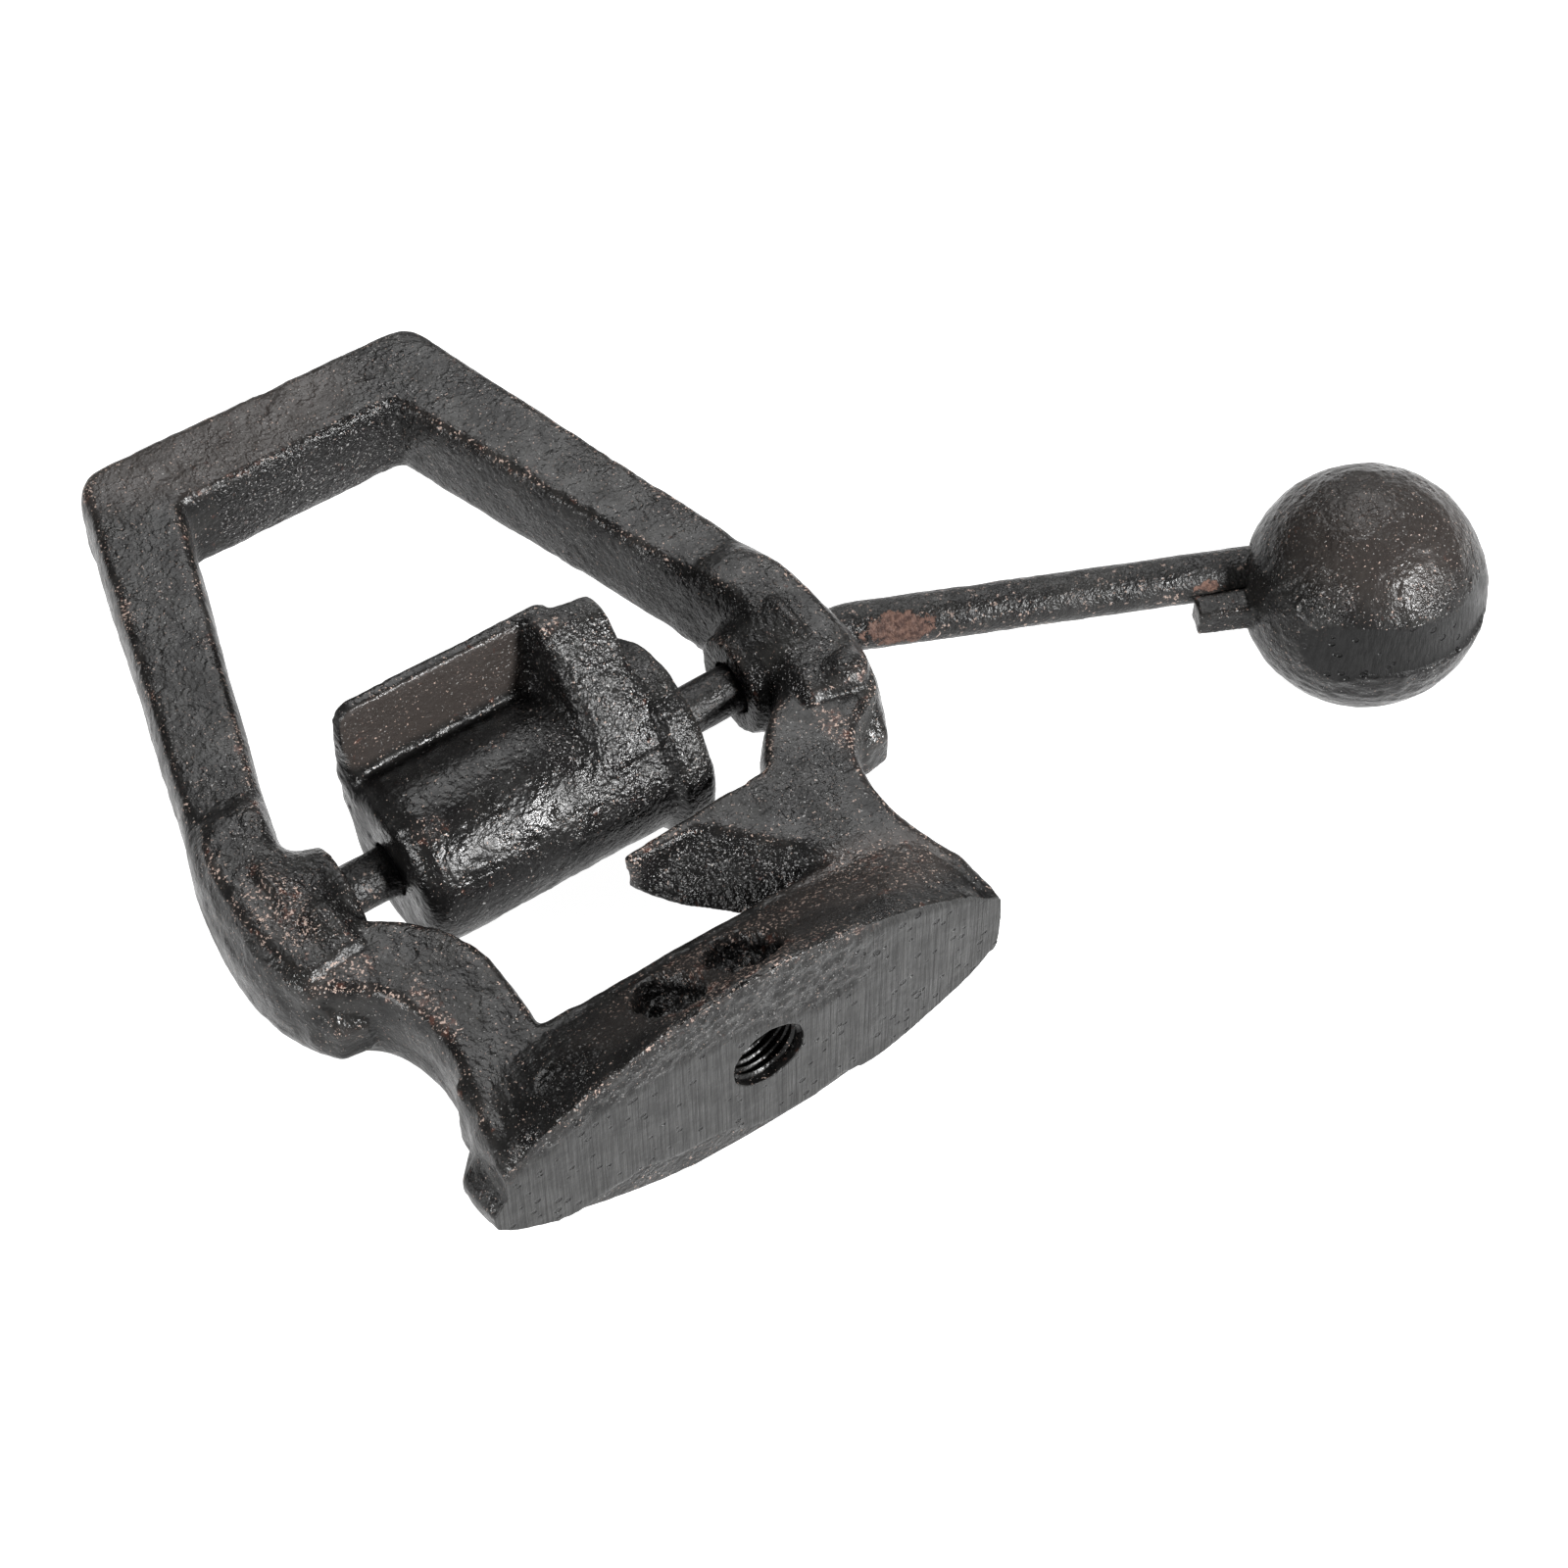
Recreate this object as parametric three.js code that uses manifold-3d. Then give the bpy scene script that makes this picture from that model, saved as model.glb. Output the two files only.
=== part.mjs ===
// A cast-iron lever nutcracker: a flat closed frame that bolts down by its foot, and a cam on a
// cross-shaft that is bent into a lever with a ball weight. Millimetres, +Z up.
// The part is drawn lying on its back: X along the shaft towards the lever, Y from the foot's ground
// face to the far bar, Z normal to the frame, with Z = 0 on the frame's mid-plane. The last lines
// move the whole part so that its origin is the bottom centre of its box.
import * as THREE from "three";
import { mergeVertices } from "three/addons/utils/BufferGeometryUtils.js";
import Module from "manifold-3d";

const wasm = await Module();
wasm.setup();

// ---- Driving dimensions ----

// Frame, as seen from above: half-widths are measured at the flat top face.
const frameLength = 150.3; // foot face to the outer side of the far bar, at mid thickness
const frameThickness = 16.4;
const edgeSwell = 1.6; // how far the side walls stand out at mid thickness, beyond the top face
const edgeSwellDepth = 5.2;
const farBarWidth = 12.5;
const farHalfOuter = 31;
const farHalfInner = 20.5;
const farCornerRadius = 5.5;
const legWidth = 10.6; // across the top face of a leg, along X
const shaftHeight = 59.3; // foot face to the shaft's axis
const bossHalfOuter = 52; // at the shaft
const bossSwell = 3.2; // how far the boss stands out at mid thickness
const bossHalfLength = 17.5; // along Y, either side of the shaft
const bossPadRise = 1.6; // each face
const hubHalfInner = 34.6; // inner end of the coned hub round the shaft
const hubRadius = 8;
const hubCone = 3.4; // how much wider the hub is at its root
const waistHalfOuter = 37.2;
const waistHeight = 24; // foot face to the narrowest place of the waist
const waistHalfInner = 25.7;

// Foot: the bolted end.
const footHalfLength = 42.6;
const footHalfDepth = 20.3; // at the middle of its bulging face
const footEndHalfDepth = 6.6;
const footCornerRadius = 5; // at the lever's end only
const footLip = 3; // the ledge on the other end stands out this far
const footWallWidth = 17.9; // along Y, at the frame's top face
const holeRadius = 5.4; // tap drill of a 1/2 inch thread
const holeOffset = 1.2; // the hole is a little to the lever's side

// Tooth, on the inside of the right waist.
const toothTipX = 0;
const toothTipY = 35.6;
const toothRootX = 31;
const toothDraft = 10.5; // how far the lower side slopes out from the top face to mid thickness
const toothUndercut = 9; // how far the tip is set back at the underside

// Rod: shaft and lever in one.
const rodRadius = 3.97; // 5/16 inch round
const rodClearance = 0.35; // radial, to the fixed pieces it is fitted in
const journalClearance = 0.1; // radial, in the frame
const blindEndInset = 4.5; // the left boss is not bored through: the rod stops this far inside it
const bendOutset = 3.9; // the rod's bend starts outside the right boss
const bendAngleDeg = 24.2;
const bendRadius = 8;
const leverLength = 83.5; // bend corner to the point nearest the ball's centre
const endChamfer = 0.6;

// Ball.
const ballRadius = 19.5;
const ballOffset = 5.6; // the rod passes this far from the ball's centre
const ballDrop = 0.9; // the centre lies this far under the rod
const rodPastCentre = 6;
const stubLength = 9;
const stubWidth = 4.6;
const stubHeight = 5;

// Cam.
const barrelRadius = 14;
const barrelLeftX = -26.8;
const barrelChamfer = 2.6;
const collarRise = 2;
const collarLeftX = 16.5;
const camRightX = 22.3;
const wingLeftX = -26.5;
const wingRightX = 10.8;
const wingTop = 25; // above the shaft's axis
const wingFront = 9.8; // behind the shaft's axis, at the barrel
const wingRootThickness = 6;
const wingTopThickness = 2.4;
const wingCornerRadius = 3;
const ribLeftX = 5.6;
const ribRightX = 16.8;
const ribTop = 26.6;
const ribTopFront = 6.4;
const ribTopFlat = 4.4;

// Cross pin through cam and shaft, driven in from the underside.
const pinRadius = 2.2;
const pinClearance = 0.3;
const pinX = -12;
const pinTop = 9; // above the shaft's axis
const pinRecess = 0.6;

// Sizes that follow from those above.
const blindEndX = bossHalfOuter - blindEndInset;
const bendX = bossHalfOuter + bendOutset;
const collarRadius = barrelRadius + collarRise;

const CUT_PAST = 2; // how far a cutting tool runs past the face it cuts
const ROUND = 40; // sides of a full circle

const deg = THREE.MathUtils.degToRad;

// ---- Solids: geometry in, geometry out, joined and cut by manifold-3d ----

function toSolid(geometry) {
  const bare = geometry.clone();
  bare.deleteAttribute("normal");
  bare.deleteAttribute("uv");
  const merged = mergeVertices(bare, 1e-4);
  return new wasm.Manifold(
    new wasm.Mesh({
      numProp: 3,
      vertProperties: merged.attributes.position.array,
      triVerts: new Uint32Array(merged.index.array),
    }),
  );
}

function toGeometry(solid) {
  const mesh = solid.getMesh();
  const geometry = new THREE.BufferGeometry();
  geometry.setAttribute("position", new THREE.BufferAttribute(mesh.vertProperties, 3));
  geometry.setIndex(new THREE.BufferAttribute(mesh.triVerts, 1));
  return geometry;
}

function union(...geometries) {
  const solids = geometries.map(toSolid);
  return solids.reduce((whole, next) => whole.add(next));
}

function build(added, removed = []) {
  let solid = union(...added);
  for (const geometry of removed) solid = solid.subtract(toSolid(geometry));
  return toGeometry(solid);
}

// A closed body through rings of equally many points, with a flat cap on the first and last ring.
// Each ring turns anticlockwise when seen from the last ring's side.
function loft(rings, capOutline) {
  const perRing = rings[0].length;
  const positions = rings.flat().flatMap((p) => [p.x, p.y, p.z]);
  const index = [];
  for (let k = 0; k + 1 < rings.length; k++) {
    for (let i = 0; i < perRing; i++) {
      const j = (i + 1) % perRing;
      const low = k * perRing;
      const high = low + perRing;
      index.push(low + i, low + j, high + j, low + i, high + j, high + i);
    }
  }
  const last = (rings.length - 1) * perRing;
  for (const [a, b, c] of THREE.ShapeUtils.triangulateShape(capOutline, [])) {
    index.push(a, c, b);
    index.push(last + a, last + b, last + c);
  }
  const geometry = new THREE.BufferGeometry();
  geometry.setAttribute("position", new THREE.Float32BufferAttribute(positions, 3));
  geometry.setIndex(index);
  return geometry;
}

// A round bar from start to end, given by radii at fractions of its length.
function roundBar(start, end, radii) {
  const direction = new THREE.Vector3().subVectors(end, start);
  const turn = new THREE.Quaternion().setFromUnitVectors(
    new THREE.Vector3(0, 0, 1),
    direction.clone().normalize(),
  );
  const circle = new THREE.Path().absarc(0, 0, 1, 0, 2 * Math.PI).getSpacedPoints(ROUND);
  circle.pop();
  const rings = radii.map(([fraction, radius]) =>
    circle.map((p) =>
      new THREE.Vector3(p.x * radius, p.y * radius, 0)
        .applyQuaternion(turn)
        .add(start)
        .addScaledVector(direction, fraction),
    ),
  );
  return loft(rings, circle);
}

function plainBar(start, end, radius) {
  return roundBar(start, end, [
    [0, radius],
    [1, radius],
  ]);
}

const at = (x, y, z) => new THREE.Vector3(x, y, z);

// The points of a closed outline without those that repeat the one before.
function distinct(points) {
  return points.filter((p, i) => p.distanceTo(points.at(i - 1)) > 0.01);
}

// ---- Frame ----

// Places on the top face's outline: the far bar's outer side, the bosses' two ends, and the legs'
// two sides where they leave the bosses.
const legTopY = frameLength - edgeSwell;
const bossTopY = shaftHeight + bossHalfLength;
const bossBottomY = shaftHeight - bossHalfLength;
const legOuterAtBoss = bossHalfOuter - 3.6;
const legInnerAtBoss = legOuterAtBoss - legWidth;

function mirrored(path, divisions) {
  const right = path.getPoints(divisions);
  const left = right.toReversed().map((p) => new THREE.Vector2(-p.x, p.y));
  return new THREE.Shape([...right, ...left]);
}

function outerOutline() {
  const path = new THREE.Path();
  path.moveTo(footHalfLength - edgeSwell, edgeSwell);
  path.lineTo(footHalfLength - edgeSwell - 0.4, 9);
  path.quadraticCurveTo(waistHalfOuter, waistHeight - 6, waistHalfOuter, waistHeight);
  path.quadraticCurveTo(waistHalfOuter + 0.8, bossBottomY - 7, bossHalfOuter - 9, bossBottomY - 3.5);
  path.lineTo(bossHalfOuter - 3.4, bossBottomY);
  path.quadraticCurveTo(bossHalfOuter, bossBottomY + 3, bossHalfOuter, shaftHeight);
  path.quadraticCurveTo(bossHalfOuter, bossTopY - 5, legOuterAtBoss, bossTopY + 2);
  path.lineTo(farHalfOuter + 0.4, legTopY - farCornerRadius);
  path.quadraticCurveTo(farHalfOuter, legTopY, farHalfOuter - farCornerRadius, legTopY);
  return mirrored(path, 6);
}

function openingOutline() {
  const path = new THREE.Path();
  const innerY = legTopY - farBarWidth;
  path.moveTo(waistHalfInner + 0.6, footWallWidth);
  path.lineTo(waistHalfInner, waistHeight + 6);
  path.quadraticCurveTo(waistHalfInner + 0.6, shaftHeight - 20, 34, shaftHeight - 13.5);
  path.quadraticCurveTo(legInnerAtBoss + 2.4, shaftHeight - 10, legInnerAtBoss + 4.4, shaftHeight + 3);
  path.lineTo(legInnerAtBoss, bossTopY + 4);
  path.lineTo(farHalfInner + 0.6, innerY - 2);
  path.quadraticCurveTo(farHalfInner, innerY, farHalfInner - 2, innerY);
  return mirrored(path, 6);
}

// A flat plate with swelling side walls, centred on Z = 0.
function swellingPlate(shape, thickness, swell, swellDepth) {
  const geometry = new THREE.ExtrudeGeometry(shape, {
    depth: thickness - 2 * swellDepth,
    bevelEnabled: true,
    bevelSize: swell,
    bevelThickness: swellDepth,
    bevelSegments: 3,
    curveSegments: 8,
  });
  geometry.translate(0, 0, swellDepth - thickness / 2);
  return geometry;
}

function bossPad(side) {
  const path = new THREE.Shape();
  const inner = legInnerAtBoss + 5.4;
  const outer = bossHalfOuter - 0.8;
  path.moveTo(inner - 3.4, bossBottomY + 3.2);
  path.lineTo(outer - 3.4, bossBottomY + 2);
  path.quadraticCurveTo(outer, bossBottomY + 5, outer, shaftHeight);
  path.quadraticCurveTo(outer, bossTopY - 6, outer - 3.6, bossTopY - 1);
  path.lineTo(inner - 3.6, bossTopY - 1);
  path.quadraticCurveTo(inner + 0.8, shaftHeight, inner - 3.4, bossBottomY + 3.2);
  const pad = swellingPlate(path, frameThickness + 2 * bossPadRise, 0.8, 1.2);
  if (side < 0) pad.rotateY(Math.PI);
  return pad;
}

// The body of a boss: its side wall stands out furthest at mid thickness, and most of all at the
// end towards the foot.
function bossBody(side) {
  const inner = legInnerAtBoss + 6;
  const near = bossBottomY;
  const section = (z, swell) =>
    [
      [inner, near + 0.8 - 2.2 * swell],
      [bossHalfOuter - 3.6, near + 0.6 - 1.9 * swell],
      [bossHalfOuter - 1.4, near + 3 - 1.4 * swell],
      [bossHalfOuter + 0.2 + 0.4 * swell, near + 7 - 0.7 * swell],
      [bossHalfOuter + 0.6 + 0.7 * swell, near + 12 - 0.3 * swell],
      [bossHalfOuter + 0.4 + 0.7 * swell, shaftHeight],
      [bossHalfOuter - 0.6 + 0.5 * swell, shaftHeight + 10],
      [legOuterAtBoss - 0.4, bossTopY + 4],
      [inner, bossTopY + 4],
    ].map(([x, y]) => at(side * x, y, z));
  const half = frameThickness / 2;
  const rings = [
    section(-half, 1),
    section(-half / 2, bossSwell),
    section(half / 4, bossSwell),
    section(half, 0),
  ];
  if (side < 0) rings.forEach((ring) => ring.reverse());
  const outline = rings[0].map((p) => new THREE.Vector2(p.x, p.y));
  return loft(rings, outline);
}

// The foot: a lens outline on the ground face, closing down to the frame's thickness behind it.
function foot() {
  const bulge = footHalfDepth - footEndHalfDepth;
  const arcRadius = (footHalfLength ** 2 + bulge ** 2) / (2 * bulge);
  const arcHalfAngle = Math.asin(footHalfLength / arcRadius);
  const cornerAngle = Math.asin((footHalfLength - footCornerRadius) / arcRadius);
  const centreZ = footHalfDepth - arcRadius;
  const outline = new THREE.Path();
  outline.moveTo(footHalfLength, 0);
  outline.quadraticCurveTo(
    footHalfLength,
    footEndHalfDepth - 0.6,
    arcRadius * Math.sin(cornerAngle),
    centreZ + arcRadius * Math.cos(cornerAngle),
  );
  outline.absarc(0, centreZ, arcRadius, Math.PI / 2 - cornerAngle, Math.PI / 2 + arcHalfAngle);
  outline.absarc(0, -centreZ, arcRadius, -Math.PI / 2 - arcHalfAngle, -Math.PI / 2 + cornerAngle);
  outline.quadraticCurveTo(footHalfLength, 0.6 - footEndHalfDepth, footHalfLength, -1);
  const points = distinct(outline.getPoints(14));
  const backHalfDepth = frameThickness / 2 - 0.4;
  const ring = (y, share) =>
    points.map((p) => {
      const faceHalf = Math.abs(p.y);
      const half = faceHalf + (Math.min(backHalfDepth, faceHalf) - faceHalf) * share;
      return at(p.x * (1 - 0.05 * share), y, Math.sign(p.y) * half);
    });
  const faceFlat = 1.2;
  const rings = [ring(footWallWidth - 0.4, 1), ring(faceFlat, 0), ring(0, 0)];
  return loft(rings, points);
}

// The ledge left on the foot's plain end, under mid thickness.
function lip() {
  const section = (z, reach) => [
    at(-footHalfLength + 4, 0, z),
    at(-footHalfLength + 4, 13.5, z),
    at(-footHalfLength + 1.5 - reach / 2, 11, z),
    at(-footHalfLength - reach, 8, z),
    at(-footHalfLength - reach, 4.5, z),
    at(-footHalfLength + 0.4 - reach * 0.8, 0, z),
  ];
  const rings = [
    section(-footEndHalfDepth, 0),
    section(-4.5, footLip),
    section(-1.5, footLip),
    section(2, 0),
  ];
  const outline = rings[0].map((p) => new THREE.Vector2(p.x, p.y));
  return loft(rings, outline);
}

// One side's coned hub, round the shaft.
function hub(side) {
  const root = legInnerAtBoss + 8;
  return roundBar(at(side * hubHalfInner, shaftHeight, 0), at(side * root, shaftHeight, 0), [
    [0, hubRadius],
    [1, hubRadius + hubCone],
  ]);
}

// The tooth: its lower side slopes out from both faces to mid thickness, and its tip is set back
// below mid thickness.
function tooth() {
  const half = frameThickness / 2;
  const section = (z, sloped, setback) => {
    const shoulderX = toothTipX + 4 + setback / 2 + 0.9 * toothDraft * (1 - sloped);
    return [
      at(toothTipX + setback, toothTipY + 1, z),
      at(toothTipX + setback + 0.6, toothTipY - 0.8, z),
      at(shoulderX, toothTipY - 1.4 - 4 * sloped, z),
      at(toothRootX - 1.5 - toothDraft * sloped, footWallWidth - 3, z),
      at(toothRootX + 6, footWallWidth - 3, z),
      at(toothRootX + 9, toothTipY + 12, z),
      at(toothRootX - 4, toothTipY + 2.6, z),
    ];
  };
  const rings = [
    section(-half, 0, toothUndercut),
    section(0, 1, 1),
    section(half, 0, 0),
  ];
  const outline = rings[2].map((p) => new THREE.Vector2(p.x, p.y));
  return loft(rings, outline);
}

function frame() {
  const plate = outerOutline();
  plate.holes.push(openingOutline());
  const journal = rodRadius + journalClearance;
  const flatPlate = swellingPlate(plate, frameThickness, edgeSwell, edgeSwellDepth);
  const added = [flatPlate, foot(), lip(), tooth()];
  for (const side of [-1, 1]) added.push(bossBody(side), bossPad(side), hub(side));
  const shaftHole = plainBar(
    at(-blindEndX - rodClearance, shaftHeight, 0),
    at(bossHalfOuter + edgeSwell + CUT_PAST, shaftHeight, 0),
    journal,
  );
  const tappedHole = plainBar(
    at(holeOffset, -CUT_PAST, 0),
    at(holeOffset, footWallWidth + CUT_PAST, 0),
    holeRadius,
  );
  const groundPlane = new THREE.BoxGeometry(3 * footHalfLength, 20, 3 * footHalfDepth);
  groundPlane.translate(0, -10, 0);
  return build(added, [shaftHole, tappedHole, groundPlane]);
}

// ---- Rod: shaft, bend and lever ----

const bendAngle = deg(bendAngleDeg);
const leverDirection = at(Math.cos(bendAngle), -Math.sin(bendAngle), 0);
const leverSide = at(-Math.sin(bendAngle), -Math.cos(bendAngle), 0);
const bendCorner = at(bendX, shaftHeight, 0);
const ballNearest = bendCorner.clone().addScaledVector(leverDirection, leverLength);
const ballCentre = ballNearest.clone().addScaledVector(leverSide, ballOffset).add(at(0, 0, -ballDrop));

function leverShaft() {
  const circle = new THREE.Path().absarc(0, 0, 1, 0, 2 * Math.PI).getSpacedPoints(ROUND);
  circle.pop();
  const ring = (centre, angle, radius) => {
    const across = at(Math.sin(angle), Math.cos(angle), 0);
    return circle.map((p) =>
      centre.clone().addScaledVector(across, p.x * radius).add(at(0, 0, p.y * radius)),
    );
  };
  const thin = rodRadius - endChamfer;
  const setback = bendRadius * Math.tan(bendAngle / 2);
  const rings = [
    ring(at(-blindEndX, shaftHeight, 0), 0, thin),
    ring(at(-blindEndX + endChamfer, shaftHeight, 0), 0, rodRadius),
  ];
  const bendSteps = 6;
  for (let i = 0; i <= bendSteps; i++) {
    const angle = (bendAngle * i) / bendSteps;
    const x = bendX - setback + bendRadius * Math.sin(angle);
    const y = shaftHeight - bendRadius * (1 - Math.cos(angle));
    rings.push(ring(at(x, y, 0), angle, rodRadius));
  }
  const end = ballNearest.clone().addScaledVector(leverDirection, rodPastCentre);
  rings.push(ring(end.clone().addScaledVector(leverDirection, -endChamfer), bendAngle, rodRadius));
  rings.push(ring(end, bendAngle, thin));
  const body = loft(rings, circle);
  const pinHole = plainBar(
    at(pinX, shaftHeight, -rodRadius - CUT_PAST),
    at(pinX, shaftHeight, rodRadius + CUT_PAST),
    pinRadius + pinClearance,
  );
  return build([body], [pinHole]);
}

// ---- Ball ----

function ball() {
  const body = new THREE.SphereGeometry(ballRadius, 36, 24);
  body.rotateX(Math.PI / 2);
  body.translate(ballCentre.x, ballCentre.y, ballCentre.z);
  const reach = Math.sqrt(ballRadius ** 2 - ballOffset ** 2);
  const stub = new THREE.BoxGeometry(stubLength + reach, stubWidth, stubHeight);
  stub.rotateZ(-bendAngle);
  const stubCentre = ballNearest
    .clone()
    .addScaledVector(leverDirection, -(reach + stubLength + 0.5) / 2)
    .addScaledVector(leverSide, rodRadius + rodClearance + stubWidth / 2);
  stub.translate(stubCentre.x, stubCentre.y, -1.2);
  const bore = plainBar(
    ballNearest.clone().addScaledVector(leverDirection, -ballRadius - 14),
    ballNearest.clone().addScaledVector(leverDirection, rodPastCentre + rodClearance),
    rodRadius + rodClearance,
  );
  return build([body, stub], [bore]);
}

// ---- Cam ----

// A body turned round the shaft, from [x, radius] pairs of a closed profile.
function turned(profile) {
  const points = profile.map(([x, radius]) => new THREE.Vector2(radius, x));
  points.push(points[0].clone());
  const geometry = new THREE.LatheGeometry(points, 48);
  geometry.rotateZ(-Math.PI / 2);
  geometry.translate(0, shaftHeight, 0);
  return geometry;
}

// The wing: an upright plate behind the barrel, thinner at the top, with rounded top corners.
function wing() {
  const shape = new THREE.Shape();
  const r = wingCornerRadius;
  shape.moveTo(wingLeftX, 0);
  shape.lineTo(wingRightX, 0);
  shape.lineTo(wingRightX, wingTop - r);
  shape.absarc(wingRightX - r, wingTop - r, r, 0, Math.PI / 2, false);
  shape.absarc(wingLeftX + r, wingTop - r, r, Math.PI / 2, Math.PI, false);
  const outline = shape.getPoints(5);
  const plane = (top) =>
    outline.map((p) => {
      const share = p.y / wingTop;
      const front = wingFront + share;
      const thickness = wingRootThickness + (wingTopThickness - wingRootThickness) * share;
      return at(p.x, shaftHeight + front + (top ? thickness : 0), p.y);
    });
  return loft([plane(true), plane(false)], outline);
}

// The rib: a gusset whose front face runs from the barrel's tangent up to the wing's top.
function rib() {
  const drop = (2 * (ribRightX - ribLeftX)) / 10;
  const section = (x, lower) => [
    at(x, shaftHeight - barrelRadius * 0.74, barrelRadius * 0.74),
    at(x, shaftHeight, 0),
    at(x, shaftHeight + wingFront + 2, 0),
    at(x, shaftHeight + wingFront + 2, ribTop - lower - 1.5),
    at(x, shaftHeight + ribTopFront + ribTopFlat - 2, ribTop - lower),
    at(x, shaftHeight + ribTopFront, ribTop - lower),
  ];
  const rings = [section(ribLeftX, 0), section(ribRightX, drop)];
  const outline = rings[0].map((p) => new THREE.Vector2(p.y, p.z));
  return loft(rings, outline);
}

function cam() {
  const bore = rodRadius + rodClearance;
  const barrel = turned([
    [barrelLeftX, bore],
    [barrelLeftX, barrelRadius - barrelChamfer * 0.75],
    [barrelLeftX + barrelChamfer, barrelRadius],
    [collarLeftX - 1.2, barrelRadius],
    [collarLeftX, collarRadius],
    [camRightX - 1.4, collarRadius],
    [camRightX, collarRadius - 1.4],
    [camRightX, bore],
  ]);
  const shaftBore = plainBar(
    at(barrelLeftX - CUT_PAST, shaftHeight, 0),
    at(camRightX + CUT_PAST, shaftHeight, 0),
    bore,
  );
  const pinHole = plainBar(
    at(pinX, shaftHeight, -barrelRadius - CUT_PAST),
    at(pinX, shaftHeight, pinTop + pinClearance),
    pinRadius + pinClearance,
  );
  return build([barrel, wing(), rib()], [shaftBore, pinHole]);
}

function camPin() {
  const low = at(pinX, shaftHeight, -barrelRadius + pinRecess);
  return roundBar(low, at(pinX, shaftHeight, pinTop), [
    [0, pinRadius - 0.4],
    [0.03, pinRadius],
    [0.97, pinRadius],
    [1, pinRadius - 0.4],
  ]);
}

// ---- Scene graph ----

const paintedIron = new THREE.MeshStandardMaterial({ color: 0x1d1c1b, roughness: 0.62, metalness: 0.2 });
const paintedSteel = new THREE.MeshStandardMaterial({ color: 0x1a1817, roughness: 0.45, metalness: 0.4 });
const bareSteel = new THREE.MeshStandardMaterial({ color: 0x55504a, roughness: 0.5, metalness: 0.9 });

function piece(name, geometry, material) {
  const mesh = new THREE.Mesh(geometry, material);
  mesh.name = name;
  return mesh;
}

const part = new THREE.Group();
const rotor = new THREE.Group();
part.add(piece("frame", frame(), paintedIron));
rotor.add(piece("lever_shaft", leverShaft(), paintedSteel));
rotor.add(piece("cam", cam(), paintedIron));
rotor.add(piece("cam_pin", camPin(), bareSteel));
rotor.add(piece("ball", ball(), paintedIron));
part.add(rotor);

// Origin: the bottom centre of the part's box.
const box = new THREE.Box3().setFromObject(part);
const centre = box.getCenter(new THREE.Vector3());
part.position.set(-centre.x, -centre.y, -box.min.z);

export default part;
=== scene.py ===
"""Looks of the cast-iron lever nutcracker.

Lengths in the modelling code are millimetres in the tool's own frame: X along the shaft towards the
lever, Y from the foot's ground face to the far bar, Z out of the frame's face, with the origin in the
middle of the foot's face. World units are metres.
"""

import math

import bmesh
import bpy
import numpy as np
from mathutils import Matrix, Vector


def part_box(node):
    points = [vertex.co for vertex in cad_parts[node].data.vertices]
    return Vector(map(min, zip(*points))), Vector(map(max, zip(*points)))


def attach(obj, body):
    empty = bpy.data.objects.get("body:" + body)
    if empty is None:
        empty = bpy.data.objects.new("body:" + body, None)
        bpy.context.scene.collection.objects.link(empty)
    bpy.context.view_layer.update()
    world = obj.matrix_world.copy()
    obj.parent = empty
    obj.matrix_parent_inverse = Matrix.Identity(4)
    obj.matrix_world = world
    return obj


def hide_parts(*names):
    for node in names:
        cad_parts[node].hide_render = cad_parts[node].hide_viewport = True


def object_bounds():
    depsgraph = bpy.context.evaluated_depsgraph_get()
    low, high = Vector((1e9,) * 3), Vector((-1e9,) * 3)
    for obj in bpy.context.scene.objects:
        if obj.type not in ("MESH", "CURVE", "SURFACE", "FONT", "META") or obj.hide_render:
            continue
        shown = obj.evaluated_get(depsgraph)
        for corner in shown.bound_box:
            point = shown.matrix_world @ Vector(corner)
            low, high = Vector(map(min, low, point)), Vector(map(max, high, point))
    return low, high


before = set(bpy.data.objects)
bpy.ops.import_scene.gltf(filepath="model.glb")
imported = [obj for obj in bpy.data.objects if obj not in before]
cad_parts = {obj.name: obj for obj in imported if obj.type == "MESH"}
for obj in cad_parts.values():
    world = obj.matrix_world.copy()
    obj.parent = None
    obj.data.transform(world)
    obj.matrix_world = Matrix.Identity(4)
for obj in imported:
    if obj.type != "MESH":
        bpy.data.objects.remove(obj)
bounds_at_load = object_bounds()

MM = 0.001
frame_low, frame_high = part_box("frame")
ORIGIN = np.array([(frame_low.x + frame_high.x) / 2, frame_low.y, (frame_low.z + frame_high.z) / 2])
SHAFT_Y = 59.3  # the shaft's height above the foot's face

# The lever leaves the shaft at BEND_X, bent towards the foot's side.
BEND_X = 55.9
LEVER_ANGLE = math.radians(24.2)
LEVER_DIR = np.array([math.cos(LEVER_ANGLE), -math.sin(LEVER_ANGLE), 0.0])
LEVER_SIDE = np.array([math.sin(LEVER_ANGLE), math.cos(LEVER_ANGLE), 0.0])

# The ball's stub stands out back along the lever, so the centre is found from the other sides.
ball_low, ball_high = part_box("ball")
ball_radius = (ball_high.z - ball_low.z) / 2
ball_centre = np.array(
    [ball_high.x - ball_radius, ball_low.y + ball_radius, (ball_low.z + ball_high.z) / 2]
)
BALL_RADIUS = ball_radius / MM
BALL_CENTRE = (ball_centre - ORIGIN) / MM


def detail(final):
    return final


# ---- Noise fields on point arrays ----


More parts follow.
